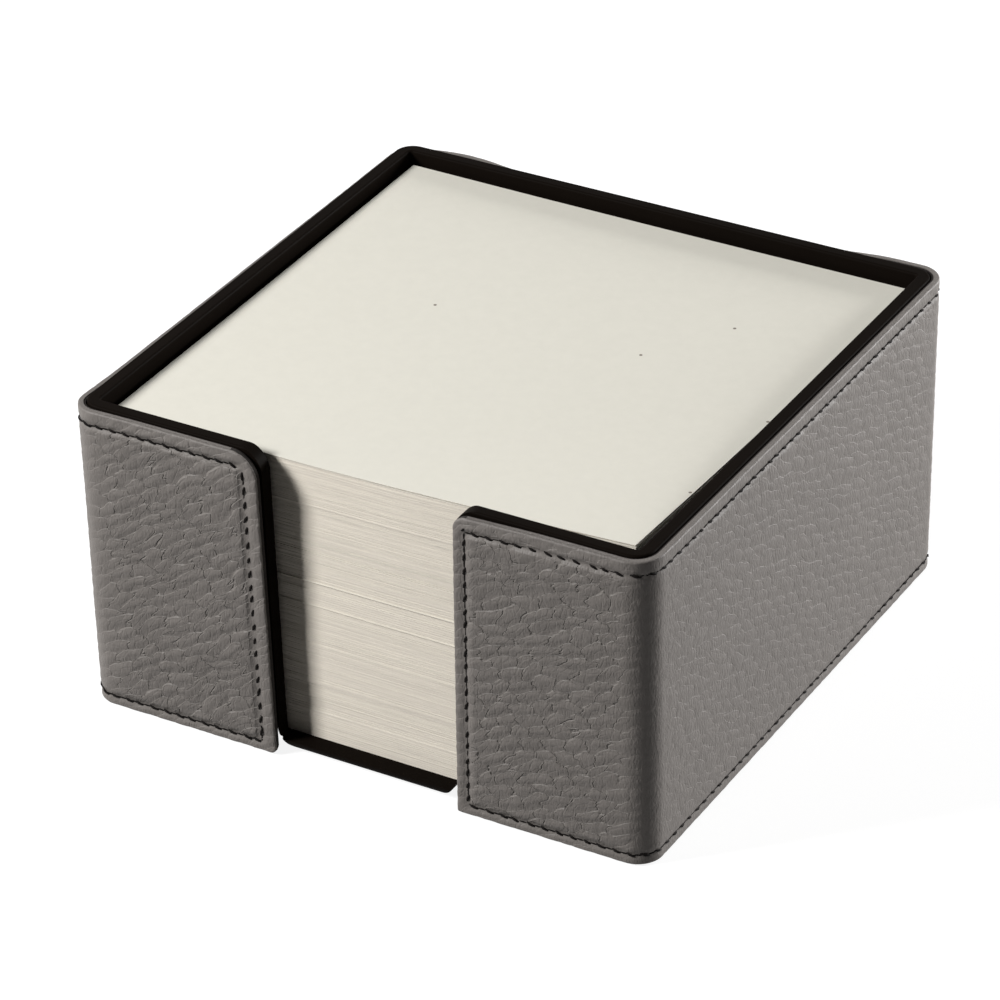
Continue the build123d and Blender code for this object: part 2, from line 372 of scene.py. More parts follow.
def press_grain(piece, depth):
    """Presses the pebbles into a mesh that carries their places, its outward way and its relief."""
    tree = bpy.data.node_groups.new("pressed grain", "GeometryNodeTree")
    for way in ("INPUT", "OUTPUT"):
        tree.interface.new_socket("Geometry", in_out=way, socket_type="NodeSocketGeometry")
    shape = add_node(tree, "NodeGroupInput")
    carried = {}
    for name, kind in (("pebble", "FLOAT_VECTOR"), ("away", "FLOAT_VECTOR"), ("relief", "FLOAT")):
        node = add_node(tree, "GeometryNodeInputNamedAttribute", {"data_type": kind, "Name": name})
        carried[name] = node.outputs["Attribute"]
    height = pebble_relief(tree, carried["pebble"], PRESSED_CREASE)
    height = add_node(
        tree, "ShaderNodeMath", {"operation": "MULTIPLY"}, {0: height, 1: carried["relief"]})
    height = add_node(tree, "ShaderNodeMath", {"operation": "MULTIPLY", 1: depth}, {0: height.outputs[0]})
    shift = add_node(
        tree, "ShaderNodeVectorMath", {"operation": "SCALE"},
        {0: carried["away"], "Scale": height.outputs[0]})
    moved = add_node(
        tree, "GeometryNodeSetPosition", None,
        {"Geometry": shape.outputs[0], "Offset": shift.outputs[0]})
    add_node(tree, "NodeGroupOutput", None, {0: moved.outputs[0]})
    piece.modifiers.new("pressed grain", "NODES").node_group = tree
    pressed = piece.evaluated_get(bpy.context.evaluated_depsgraph_get())
    flat = piece.data
    piece.data = bpy.data.meshes.new_from_object(pressed)
    piece.data.name = piece.name
    piece.modifiers.clear()
    bpy.data.meshes.remove(flat)


def leather_material(leather):
    """Full-grain calf leather, dyed through, plated and satin finished.

    Broad dull highlights, crisp creases between domed pebbles, and fine upright wrinkles on each.
    """
    material = new_material("dyed calf leather")
    tree = material.node_tree
    place = add_node(tree, "ShaderNodeTexCoord").outputs["Object"]
    pebble = add_node(tree, "ShaderNodeAttribute", {"attribute_name": "pebble"}).outputs["Vector"]
    relief = add_node(tree, "ShaderNodeAttribute", {"attribute_name": "relief"}).outputs["Fac"]
    # crisp creases between the pebbles, a tenth of a pebble or 0.2 mm wide
    crisp = pebble_relief(tree, pebble, CRISP_CREASE)
    # wrinkles across each pebble, three to its length
    across = add_node(
        tree, "ShaderNodeMapping",
        {"Location": (7.3, 2.1, 0), "Scale": (3.1, 1.15, 1)}, {"Vector": pebble})
    across = add_node(
        tree, "ShaderNodeTexVoronoi",
        {"voronoi_dimensions": "2D", "feature": "DISTANCE_TO_EDGE", "Scale": 1.0, "Randomness": 1.0},
        {"Vector": across.outputs[0]})
    across = add_node(
        tree, "ShaderNodeMapRange",
        {"interpolation_type": "SMOOTHSTEP", "From Min": 0.0, "From Max": 0.13},
        {"Value": across.outputs["Distance"]})
    # fine upright wrinkles, 0.32 mm apart and 0.9 mm long
    fine = add_node(
        tree, "ShaderNodeMapping",
        {"Scale": (1 / (0.32 * MM), 1 / (0.32 * MM), 1 / (0.9 * MM))}, {"Vector": place})
    fine = add_node(
        tree, "ShaderNodeTexNoise", {"Scale": 1.0, "Detail": 2.0, "Roughness": 0.55},
        {"Vector": fine.outputs[0]})
    # uneven dye, in clouds 9 mm wide
    dye = add_node(
        tree, "ShaderNodeTexNoise", {"Scale": 1 / (9 * MM), "Detail": 3.0}, {"Vector": place})
    ground = add_node(
        tree, "ShaderNodeMix",
        {"data_type": "RGBA", 6: toned(leather.colour, 0.84), 7: rgba(leather.colour)},
        {0: dye.outputs["Fac"]})
    gloss = add_node(
        tree, "ShaderNodeMapRange", {"To Min": 0.46, "To Max": 0.62}, {"Value": fine.outputs["Fac"]})
    # where the grain is shallow its creases are soft too
    sharp = add_node(tree, "ShaderNodeMath", {"operation": "POWER", 1: 3.0}, {0: relief})
    crisp = add_node(
        tree, "ShaderNodeMath", {"operation": "MULTIPLY"}, {0: crisp, 1: sharp.outputs[0]})
    creased = add_node(
        tree, "ShaderNodeBump", {"Strength": 1.0, "Distance": CRISP_DEPTH * leather.grain_depth},
        {"Height": crisp.outputs[0]})
    across = add_node(
        tree, "ShaderNodeMath", {"operation": "MULTIPLY"}, {0: across.outputs[0], 1: relief})
    crossed = add_node(
        tree, "ShaderNodeBump", {"Strength": 1.0, "Distance": ACROSS_DEPTH * leather.grain_depth},
        {"Height": across.outputs[0], "Normal": creased.outputs[0]})
    wrinkled = add_node(
        tree, "ShaderNodeBump", {"Strength": 1.0, "Distance": 0.1 * MM},
        {"Height": fine.outputs["Fac"], "Normal": crossed.outputs[0]})
    surface = add_node(
        tree, "ShaderNodeBsdfPrincipled", {"IOR": 1.5, "Specular IOR Level": 0.25},
        {"Base Color": ground.outputs[2], "Roughness": gloss.outputs[0],
         "Normal": wrinkled.outputs[0]})
    add_node(tree, "ShaderNodeOutputMaterial", None, {"Surface": surface.outputs[0]})
    return material


def cut_material(leather):
    """Cut leather, its raw fibres stained dark and darkened further by painted shade: matt, and darker
    than the grained face.
    """
    # fibre bundles, 0.25 mm
    fibre = "ShaderNodeTexNoise", {"Scale": 1 / (0.25 * MM), "Detail": 3.0}
    return two_tone_material(
        "stained and shaded cut leather", leather.colour, (0.1, 0.3), fibre,
        {"Roughness": 0.85, "Specular IOR Level": 0.08}, (0.6, 0.06 * MM))


def thread_material(leather):
    """Twisted polyester sewing thread: dark, with a slight sheen along its two plies."""
    # single fibres, 0.12 mm, drawn coarser than real so that they show
    fibre = "ShaderNodeTexNoise", {"Scale": 1 / (0.12 * MM), "Detail": 2.0}
    return two_tone_material(
        "twisted polyester thread", leather.thread_colour, (1.0, 1.9), fibre,
        {"Roughness": 0.7, "Specular IOR Level": 0.06}, (0.5, 0.03 * MM))


def slot_shade_material(leather):
    """Painted shade in the needle holes and the slots between stitches: a near-black sheet, far darker
    than the dyed face.
    """
    # loose fibres, 0.2 mm
    fibre = "ShaderNodeTexNoise", {"Scale": 1 / (0.2 * MM)}
    return two_tone_material(
        "painted shade in needle slots", leather.colour, (0.03, 0.1), fibre,
        {"Roughness": 0.95, "Specular IOR Level": 0.05})


def paper_material(paper):
    """Uncoated wood-free writing paper: warm white, dead matt, with faint fibre clouds.

    Its cut edges carry fine darker level lines, partly the sheets' own tone and partly painted shade of
    the gaps between sheets, and a stray fleck of dust lies here and there.
    """
    material = new_material("uncoated writing paper")
    tree = material.node_tree
    place = add_node(tree, "ShaderNodeTexCoord").outputs["Object"]
    # fibre clouds 2 mm wide
    cloud = add_node(
        tree, "ShaderNodeTexNoise", {"Scale": 1 / (2 * MM), "Detail": 4.0, "Roughness": 0.65},
        {"Vector": place})
    # darker lines 11 mm long and 0.25 mm high, seen on the edges only: partly the sheets' own tone,
    # partly painted shade of the gaps and steps between sheets
    line_place = add_node(
        tree, "ShaderNodeMapping",
        {"Scale": (1 / (11 * MM), 1 / (11 * MM), 1 / (0.25 * MM))}, {"Vector": place})
    sheet_tone_and_gap_shade = add_node(
        tree, "ShaderNodeTexNoise", {"Scale": 1.0, "Detail": 3.0, "Roughness": 0.7},
        {"Vector": line_place.outputs[0]})
    # dust: one cell of 9 mm in sixteen holds a fleck 0.5 mm across
    fleck = add_node(
        tree, "ShaderNodeTexVoronoi",
        {"voronoi_dimensions": "2D", "Scale": 1 / (9 * MM), "Randomness": 1.0}, {"Vector": place})
    fleck_size = add_node(
        tree, "ShaderNodeMath", {"operation": "LESS_THAN", 1: 0.03},
        {0: fleck.outputs["Distance"]})
    fleck_pick = add_node(
        tree, "ShaderNodeSeparateColor", None, {"Color": fleck.outputs["Color"]})
    fleck_rare = add_node(
        tree, "ShaderNodeMath", {"operation": "GREATER_THAN", 1: 0.94}, {0: fleck_pick.outputs[0]})
    fleck_mask = add_node(
        tree, "ShaderNodeMath", {"operation": "MULTIPLY"},
        {0: fleck_size.outputs[0], 1: fleck_rare.outputs[0]})
    upright = add_node(
        tree, "ShaderNodeSeparateXYZ", None,
        {0: add_node(tree, "ShaderNodeNewGeometry").outputs["True Normal"]})
    flat = add_node(
        tree, "ShaderNodeMath", {"operation": "ABSOLUTE"}, {0: upright.outputs["Z"]})
    edge = add_node(
        tree, "ShaderNodeMapRange", {"From Min": 0.25, "From Max": 0.6, "To Min": 1.0, "To Max": 0.0},
        {"Value": flat.outputs[0]})
    face = add_node(
        tree, "ShaderNodeMix",
        {"data_type": "RGBA", 6: toned(paper.colour, 0.93), 7: rgba(paper.colour)},
        {0: cloud.outputs["Fac"]})
    tone_and_shade_spread = add_node(
        tree, "ShaderNodeMapRange", {"From Min": 0.3, "From Max": 0.6},
        {"Value": sheet_tone_and_gap_shade.outputs["Fac"]})
    # the edges' darker lines: partly the sheets' own tone, partly painted shade between sheets
    cut = add_node(
        tree, "ShaderNodeMix",
        {"data_type": "RGBA", 6: toned(paper.edge_colour, 0.87), 7: rgba(paper.edge_colour)},
        {0: tone_and_shade_spread.outputs[0]})
    dusty = add_node(
        tree, "ShaderNodeMix", {"data_type": "RGBA", 7: rgba(linear("7d756c"))},
        {0: fleck_mask.outputs[0], 6: face.outputs[2]})
    both = add_node(
        tree, "ShaderNodeMix", {"data_type": "RGBA"},
        {0: edge.outputs[0], 6: dusty.outputs[2], 7: cut.outputs[2]})
    # the paper's tooth, 0.3 mm, drawn coarser than real so that it shows
    tooth = add_node(
        tree, "ShaderNodeTexNoise", {"Scale": 1 / (0.3 * MM), "Detail": 3.0}, {"Vector": place})
    toothed = add_node(
        tree, "ShaderNodeBump", {"Strength": 0.25, "Distance": 0.02 * MM},
        {"Height": tooth.outputs["Fac"]})
    surface = add_node(
        tree, "ShaderNodeBsdfPrincipled", {"Roughness": 0.92, "Specular IOR Level": 0.2},
        {"Base Color": both.outputs[2], "Normal": toothed.outputs[0]})
    add_node(tree, "ShaderNodeOutputMaterial", None, {"Surface": surface.outputs[0]})
    return material


def tray_material(tray):
    """Injection-moulded ABS, spark-eroded matt: near black, with a weak even sheen."""
    material = new_material("moulded black ABS")
    tree = material.node_tree
    place = add_node(tree, "ShaderNodeTexCoord").outputs["Object"]
    # spark-erosion grit, 0.18 mm
    grit = add_node(
        tree, "ShaderNodeTexNoise", {"Scale": 1 / (0.18 * MM), "Detail": 2.0}, {"Vector": place})
    # flow clouds and handling marks, 14 mm wide
    flow = add_node(
        tree, "ShaderNodeTexNoise", {"Scale": 1 / (14 * MM), "Detail": 3.0}, {"Vector": place})
    tint = add_node(
        tree, "ShaderNodeMix",
        {"data_type": "RGBA", 6: toned(tray.colour, 0.75), 7: rgba(tray.colour)},
        {0: flow.outputs["Fac"]})
    gloss = add_node(
        tree, "ShaderNodeMapRange", {"To Min": 0.42, "To Max": 0.56}, {"Value": flow.outputs["Fac"]})
    matt = add_node(
        tree, "ShaderNodeBump", {"Strength": 0.3, "Distance": 0.02 * MM},
        {"Height": grit.outputs["Fac"]})
    surface = add_node(
        tree, "ShaderNodeBsdfPrincipled", {"IOR": 1.5, "Specular IOR Level": 0.008},
        {"Base Color": tint.outputs[2], "Roughness": gloss.outputs[0], "Normal": matt.outputs[0]})
    add_node(tree, "ShaderNodeOutputMaterial", None, {"Surface": surface.outputs[0]})
    return material


def backing_material(tray):
    """Woven polyester backing cloth: dark and matt, a plain weave of 0.35 mm yarns."""
    weave = "ShaderNodeTexChecker", {"Scale": 1 / (0.35 * MM)}
    return two_tone_material(
        "woven polyester backing", tray.backing_colour, (0.7, 1.0), weave,
        {"Roughness": 0.9, "Specular IOR Level": 0.15}, (0.4, 0.04 * MM))


def felt_material(tray):
    """Pressed wool felt: dark, soft and lightless, with tangled fibres 0.5 mm wide."""
    tangle = "ShaderNodeTexNoise", {
        "Scale": 1 / (0.5 * MM), "Detail": 5.0, "Roughness": 0.7, "Distortion": 1.5}
    return two_tone_material(
        "pressed wool felt", tray.felt_colour, (1.0, 2.2), tangle,
        {"Roughness": 1.0, "Specular IOR Level": 0.1, "Sheen Weight": 0.3}, (0.8, 0.15 * MM))


def tape_material(tray):
    """Double-sided tissue tape: pale, slightly shiny glue over a paper tissue."""
    # clouds in the tissue, 1.5 mm
    tissue = "ShaderNodeTexNoise", {"Scale": 1 / (1.5 * MM), "Detail": 4.0}
    return two_tone_material(
        "double-sided tissue tape", tray.tape_colour, (0.85, 1.0), tissue, {"Roughness": 0.45})


def around(s):
    """Points on the core square and outward directions at places s along the cover.

    Places are measured from the middle of the back, and grow to the right as seen from outside.
    """
    start = np.asarray(s) + CORE
    quarter = np.floor(start / LAP)
    along = start - quarter * LAP
    straight = np.minimum(along, 2 * CORE)
    bend = np.clip((along - 2 * CORE) / ARC, 0, 1) * math.pi / 2
    turned = quarter * math.pi / 2
    cos, sin = np.cos(turned), np.sin(turned)
    x, y = CORE - straight, np.full_like(straight, CORE)
    core = np.stack([x * cos - y * sin, x * sin + y * cos], -1)
    facing = turned + bend
    out = np.stack([-np.sin(facing), np.cos(facing)], -1)
    return core, out


def on_cover(s, z, out):
    """Points on the cover at places s and heights z, out metres outside its face."""
    core, away = around(s)
    reach = CORNER - LEAN * (1 - z / RIM) + out
    flat = core + reach[..., None] * away
    return np.concatenate([flat, np.broadcast_to(z, reach.shape)[..., None]], -1)


def flap_end(side, z):
    """Place where a flap ends at height z: side 1 is the left flap, -1 the right."""
    low, high = FLAP_ENDS[side]
    return 2 * LAP * side + low + (high - low) * (z - COVER_FOOT) / (COVER_TOP - COVER_FOOT)


def top_edge(s):
    """Height of the cover's top edge at places s, with the drops smoothed over a few mm."""
    places, drops = np.array(TOP_DROPS).T * MM
    near = [np.interp(s + step * MM, places, drops) for step in (-3, -1.5, 0, 1.5, 3)]
    return COVER_TOP - np.mean(near, axis=0)


def from_edge(s, z):
    """Distance from the cover's cut edge, and from its flap's end, top and foot."""
    side = np.where(np.asarray(s) >= 0, 1, -1)
    end = np.where(side > 0, flap_end(1, z) - s, s - flap_end(-1, z))
    top = top_edge(s) - z
    foot = z - COVER_FOOT
    nearest = np.minimum(np.minimum(end, top), foot)
    for part, rounds in ((top, FLAP_TOP_ROUND), (foot, FLAP_FOOT_ROUND)):
        radius = np.where(side > 0, rounds[1], rounds[-1])
        inside = (end < radius) & (part < radius)
        nearest = np.where(inside, radius - np.hypot(radius - end, radius - part), nearest)
    return nearest, end, top, foot


def smooth_step(value):
    """0 below 0, 1 above 1, eased between."""
    held = np.clip(value, 0, 1)
    return held * held * (3 - 2 * held)


def drift(x, y, knots):
    """Smooth random values between -1 and 1 at places given in knots."""
    column, row = np.floor(x).astype(int), np.floor(y).astype(int)
    right, up = smooth_step(x - column), smooth_step(y - row)
    high, wide = knots.shape
    at = [[knots[(row + j) % high, (column + i) % wide] for i in (0, 1)] for j in (0, 1)]
    low = at[0][0] + (at[0][1] - at[0][0]) * right
    top = at[1][0] + (at[1][1] - at[1][0]) * right
    return (low + (top - low) * up) * 2 - 1


def pebble_places(s, z, leather):
    """Places in the pebble pattern: one unit is one pebble, along the creases and across them.

    The rows follow the grain's slopes, and wander by up to 0.3 of a pebble over 4 to 7 mm.
    """
    knots = np.random.default_rng(11).random((64, 128))
    places, slopes = np.array(GRAIN_SLOPES).T
    steps = np.linspace(-0.2, 0.2, 1601)
    slope = np.tan(np.radians(np.interp(steps / MM, places, slopes)))
    rise = np.concatenate([[0], np.cumsum((slope[1:] + slope[:-1]) / 2 * np.diff(steps))])
    warp = drift(s / (7 * MM), z / (5 * MM), knots)
    sway = drift(s / (4 * MM) + 31, z / (4 * MM) + 17, knots)
    x = s / leather.grain_length + 0.3 * warp
    y = (z - np.interp(s, steps, rise)) / leather.grain_height + 0.3 * sway
    return np.stack([x, y, np.zeros_like(x)], -1)


def seam_nearness(end, top, foot, side):
    """1 on the seam's rows, falling to 0 about 1 mm away."""
    row = np.where(side > 0, FLAP_ROWS[1], FLAP_ROWS[-1])
    inside = smooth_step((end - row) / SEAM_REACH + 0.5)
    upper = np.exp(-((top - TOP_ROW) / SEAM_REACH) ** 2) * inside
    lower = np.exp(-((foot - FOOT_ROW) / SEAM_REACH) ** 2) * inside
    between = smooth_step((top - TOP_ROW) / MM + 0.5) * smooth_step((foot - FOOT_ROW) / MM + 0.5)
    upright = np.exp(-((end - row) / SEAM_REACH) ** 2) * between
    return np.maximum(np.maximum(upper, lower), upright)


def cover_face(s, z):
    """How far the leather's face stands out at places s and heights z, and how deep its grain is."""
    nearest, end, top, foot = from_edge(s, z)
    side = np.where(s >= 0, 1, -1)
    seam = seam_nearness(end, top, foot, side)
    past_corner = np.abs(s) - CORE - ARC / 2
    bent = np.exp(-(past_corner / CORNER_FLAT) ** 2)
    bent += np.exp(-((past_corner - LAP) / CORNER_FLAT) ** 2)
    # the seam, the cut edges and the corners press the grain flatter
    pressed = (1 - 0.85 * seam) * (0.55 + 0.45 * smooth_step(nearest / EDGE_FLAT)) * (1 - 0.6 * bent)
    knots = np.random.default_rng(5).random((32, 64))
    wave = HIDE_WAVE * drift(s / (23 * MM), z / (17 * MM), knots)
    rounding = np.clip(EDGE_ROUND - nearest, 0, EDGE_ROUND)
    worn = EDGE_ROUND - np.sqrt(EDGE_ROUND ** 2 - rounding ** 2)
    front = smooth_step((np.abs(s) - LAP - CORE) / ARC)
    depth = SIDE_GRAIN + (FRONT_GRAIN - SIDE_GRAIN) * front
    return wave - SEAM_GROOVE * seam - worn, pressed * depth


def row_heights(step, top_count, foot_count):
    """Heights of the cover's rows, closer together towards its two cut edges."""
    top_round, foot_round = FLAP_TOP_ROUND[1], FLAP_FOOT_ROUND[1]
    turn = np.linspace(0, math.pi / 2, foot_count + 1)
    lower = COVER_FOOT + foot_round * (1 - np.cos(turn))
    turn = np.linspace(0, math.pi / 2, top_count + 1)
    upper = COVER_TOP - top_round + top_round * np.sin(turn)
    middle = np.linspace(lower[-1], upper[0], round((upper[0] - lower[-1]) / step) + 1)
    return np.concatenate([lower[:-1], middle, upper[1:]])


def strip_grid(heights, step, recess):
    """Places and heights of a grid over the whole cover, from the right flap's end to the left's."""
    rise = (heights - COVER_FOOT) / (COVER_TOP - COVER_FOOT)
    corner = 2 * LAP - CORE
    flap = CORE + FLAP_ENDS[1][1]
    near_end = np.array([0, 0.04, 0.12, 0.3]) * MM / flap
    share = np.concatenate([near_end, np.linspace(0, 1, round(flap / step) + 1)[1:]])
    bend = round(ARC / step) + 2
    half = [np.linspace(0, CORE, round(CORE / step) + 1)]
    half.append(np.linspace(CORE, CORE + ARC, bend + 1)[1:])
    half.append(np.linspace(CORE + ARC, LAP + CORE, round(2 * CORE / step) + 1)[1:])
    half.append(np.linspace(LAP + CORE, corner, bend + 1)[1:])
    half = np.concatenate(half)
    middle = np.concatenate([-half[:0:-1], half])
    sides = {}
    for side in (1, -1):
        cut = np.zeros_like(heights)
        far = {"top": COVER_TOP - heights, "foot": heights - COVER_FOOT}
        for name, rounds in (("top", FLAP_TOP_ROUND), ("foot", FLAP_FOOT_ROUND)):
            short = np.clip(rounds[side] - far[name], 0, rounds[side])
            cut = np.maximum(cut, rounds[side] - np.sqrt(rounds[side] ** 2 - short ** 2))
        end = flap_end(side, heights) - side * (cut + recess)
        sides[side] = end[:, None] + share[None, :] * (side * corner - end)[:, None]
    body = np.broadcast_to(middle[1:-1], (len(heights), len(middle) - 2))
    s = np.concatenate([sides[-1], body, sides[1][:, ::-1]], 1)
    top = top_edge(s) - recess
    z = COVER_FOOT + recess + rise[:, None] * (top - COVER_FOOT - recess)
    return s, z


def strip_solid(s, z, face, back, back_rows):
    """Points and faces of a closed strip: its face from the grid, its back on fewer rows."""
    rows, columns = s.shape
    points = np.concatenate([
        on_cover(s, z, face).reshape(-1, 3),
        on_cover(s[back_rows], z[back_rows], np.full_like(s[back_rows], back)).reshape(-1, 3)])
    front = np.arange(rows * columns).reshape(rows, columns)
    behind = rows * columns + np.arange(len(back_rows) * columns).reshape(-1, columns)
    loop = np.concatenate([front, behind[::-1], front[:1]])
    low, high = loop[:-1], loop[1:]
    quads = np.stack([low[:, :-1], low[:, 1:], high[:, 1:], high[:, :-1]], -1).reshape(-1, 4)
    faces = quads.tolist()
    for first, (under, over) in enumerate(zip(back_rows[:-1], back_rows[1:])):
        for column, turn in ((0, 1), (columns - 1, -1)):
            edge = front[under:over + 1, column].tolist()
            edge += behind[first:first + 2, column][::-1].tolist()
            faces.append(edge[::turn])
    return points, faces


def make_piece(name, points, faces, materials, smooth=40):
    """A mesh object in the frame, smooth but for edges sharper than that many degrees."""
    mesh = bpy.data.meshes.new(name)
    mesh.from_pydata(np.asarray(points).tolist(), [], faces)
    mesh.shade_smooth()
    mesh.set_sharp_from_angle(angle=math.radians(smooth))
    for material in materials:
        mesh.materials.append(material)
    piece = bpy.data.objects.new(name, mesh)
    bpy.context.scene.collection.objects.link(piece)
    return piece


def paint_node(name, material):
    """Gives a CAD node its material."""
    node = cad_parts[name]
    if not node.material_slots:
        node.data.materials.append(None)
    for slot in node.material_slots:
        slot.material = material


def seam_path():
    """Places and heights along the seam: up the right flap, round the top, down, and back."""
    step = 0.25 * MM
    foot = COVER_FOOT + FOOT_ROW
    arcs = {}
    for side in (1, -1):
        radius = FLAP_TOP_ROUND[side]
        middle = flap_end(side, COVER_TOP) - side * radius
        turn = np.linspace(math.pi / 2, 0, 13)
        arc_s = middle + side * (radius - FLAP_ROWS[side]) * np.cos(turn)
        arcs[side] = arc_s, COVER_TOP - radius + (radius - TOP_ROW) * np.sin(turn)
    rows = {}
    for side in (1, -1):
        high = arcs[side][1][-1]
        heights = np.linspace(high, foot, round((high - foot) / step))
        rows[side] = flap_end(side, heights) - side * FLAP_ROWS[side], heights
    top_s = np.linspace(arcs[-1][0][0], arcs[1][0][0], round(4 * LAP / step))
    foot_s = np.linspace(rows[1][0][-1], rows[-1][0][-1], round(4 * LAP / step))
    s = [rows[-1][0][::-1], arcs[-1][0][::-1], top_s, arcs[1][0], rows[1][0], foot_s]
    z = [rows[-1][1][::-1], arcs[-1][1][::-1], top_edge(top_s) - TOP_ROW, arcs[1][1], rows[1][1],
         np.full_like(foot_s, foot)]
    return np.concatenate(s), np.concatenate(z)


def heading(at, track, step):
    """Angle at which the seam runs at distances at along it, from a step before to a step after."""
    run, s, z = track
    along, up = (np.interp(at + step, run, part) - np.interp(at - step, run, part) for part in (s, z))
    return np.arctan2(up, along)


def painted_shade_slots(leather, at, track, turn, out):
    """Rims of the dark slots from each stitch to the next: sheets of painted shade where the thread draws
    the leather in.
    """
    run, s, z = track
    gap = at[:-1] + np.diff(at) / 2
    slot_s, slot_z = np.interp(gap, run, s), np.interp(gap, run, z)
    lie = heading(gap, track, 0.2 * MM)[:, None]
    reach = (leather.stitch_pitch - 0.55 * leather.stitch_length) / 2 * np.cos(turn)
    half = SLOT_HALF * np.sin(turn)
    # a little outside the thread's bed, so that the sheets of painted shade show
    return on_cover(
        slot_s[:, None] + reach * np.cos(lie) - half * np.sin(lie),
        slot_z[:, None] + reach * np.sin(lie) + half * np.cos(lie),
        np.full((len(gap), len(turn)), out + 0.03 * MM))


def stitches(leather, out, bulge):
    """Points and faces of the stitches of one thread, then of the slots of painted shade between them.

    out is where the thread lies, outside the cover's face, and bulge how far each stitch stands up.
    """
    s, z = seam_path()
    path = on_cover(s, z, np.zeros_like(s))
    run = np.concatenate([[0], np.cumsum(np.linalg.norm(np.diff(path, axis=0), axis=1))])
    track = run, s, z
    count = round(run[-1] / leather.stitch_pitch)
    rng = np.random.default_rng(23)
    at = (np.arange(count) + 0.5 + 0.06 * rng.standard_normal(count)) * run[-1] / count
    place, height = np.interp(at, run, s), np.interp(at, run, z)
    way = heading(at, track, 0.3 * MM) - leather.stitch_slant
    way = way + math.radians(4) * rng.standard_normal(count)
    away = np.concatenate([around(place)[1], np.zeros((count, 1))], 1)
    level = np.stack([-away[:, 1], away[:, 0], np.zeros(count)], 1)
    along = np.cos(way)[:, None] * level + np.sin(way)[:, None] * np.array([0, 0, 1.0])
    beside = np.cross(away, along)
    middle = on_cover(place, height, np.full(count, out))
    length = leather.stitch_length * (1 + 0.08 * rng.standard_normal(count))
    # a stitch dips into its holes at both ends, is thinner there, and lies flatter than it is wide
    rings, sides = 9, 8
    ride = np.linspace(-0.5, 0.5, rings)
    arch = bulge * (1 - (2 * ride) ** 2 * 2.1)
    slim = np.sqrt(1 - (1.7 * ride) ** 2)
    turn = np.linspace(0, 2 * math.pi, sides, endpoint=False)
    lay = ride[:, None] * length.mean() / PLY_LAY * 2 * math.pi
    ply = 1 + 0.14 * np.cos(2 * turn[None, :] - lay)
    wide = leather.thread_width / 2 * slim[:, None] * ply * np.cos(turn)[None, :]
    tall = leather.thread_width * 0.36 * slim[:, None] * ply * np.sin(turn)[None, :]
    points = (middle[:, None, None, :]
              + (ride[None, :] * length[:, None])[..., None, None] * along[:, None, None, :]
              + (arch[:, None] + tall)[None, :, :, None] * away[:, None, None, :]
              + wide[None, :, :, None] * beside[:, None, None, :])
    index = np.arange(count * rings * sides).reshape(count, rings, sides)
    after = np.roll(index, -1, axis=2)
    quads = np.stack([index[:, :-1], after[:, :-1], after[:, 1:], index[:, 1:]], -1)
    faces = quads.reshape(-1, 4).tolist()
    faces += index[:, 0, ::-1].tolist() + index[:, -1].tolist()
    rim = painted_shade_slots(leather, at, track, turn, out)
    slot_shades = (points.size // 3 + np.arange(rim.size // 3)).reshape(-1, sides).tolist()
    return np.concatenate([points.reshape(-1, 3), rim.reshape(-1, 3)]), faces, slot_shades


def sheet_lift(x, y, paper):
    """How far the sheets stand up: most at the front right corner, a little at the back left."""
    near = np.clip(((x - y) / math.sqrt(2) - NEAR_START) / NEAR_LENGTH, 0, 2)
    far = np.clip(((y - x) / math.sqrt(2) - FAR_START) / FAR_LENGTH, 0, 2)
    return paper.curl * near ** 1.5 + FAR_CURL * far ** 1.6


def slab(lines_x, lines_y, low, high):
    """Points and faces of a thin sheet: the points of its low grid come first, then the high."""
    wide, deep = len(lines_x), len(lines_y)
    grid = np.arange(wide * deep).reshape(deep, wide)
    upper = grid + wide * deep
    top = np.stack([upper[:-1, :-1], upper[:-1, 1:], upper[1:, 1:], upper[1:, :-1]], -1)
    under = np.stack([grid[:-1, :-1], grid[1:, :-1], grid[1:, 1:], grid[:-1, 1:]], -1)
    faces = np.concatenate([top.reshape(-1, 4), under.reshape(-1, 4)])
    rim = np.concatenate([grid[0, :-1], grid[:-1, -1], grid[-1, :0:-1], grid[:0:-1, 0]])
    ahead = np.roll(rim, -1)
    sides = np.stack([rim, ahead, ahead + wide * deep, rim + wide * deep], -1)
    return np.concatenate([low, high]), np.concatenate([faces, sides])


class MEMOBOX_OT_tray(bpy.types.Operator):
    """Gives the moulded tray and the tape behind the cover their materials"""

    bl_idname = "memobox.tray"
    bl_label = "Tray and Tape"

    def execute(self, context):
        paint_node("tray", tray_material(context.scene.memo_tray))
        paint_node("bonding_tape", tape_material(context.scene.memo_tray))
        return {"FINISHED"}


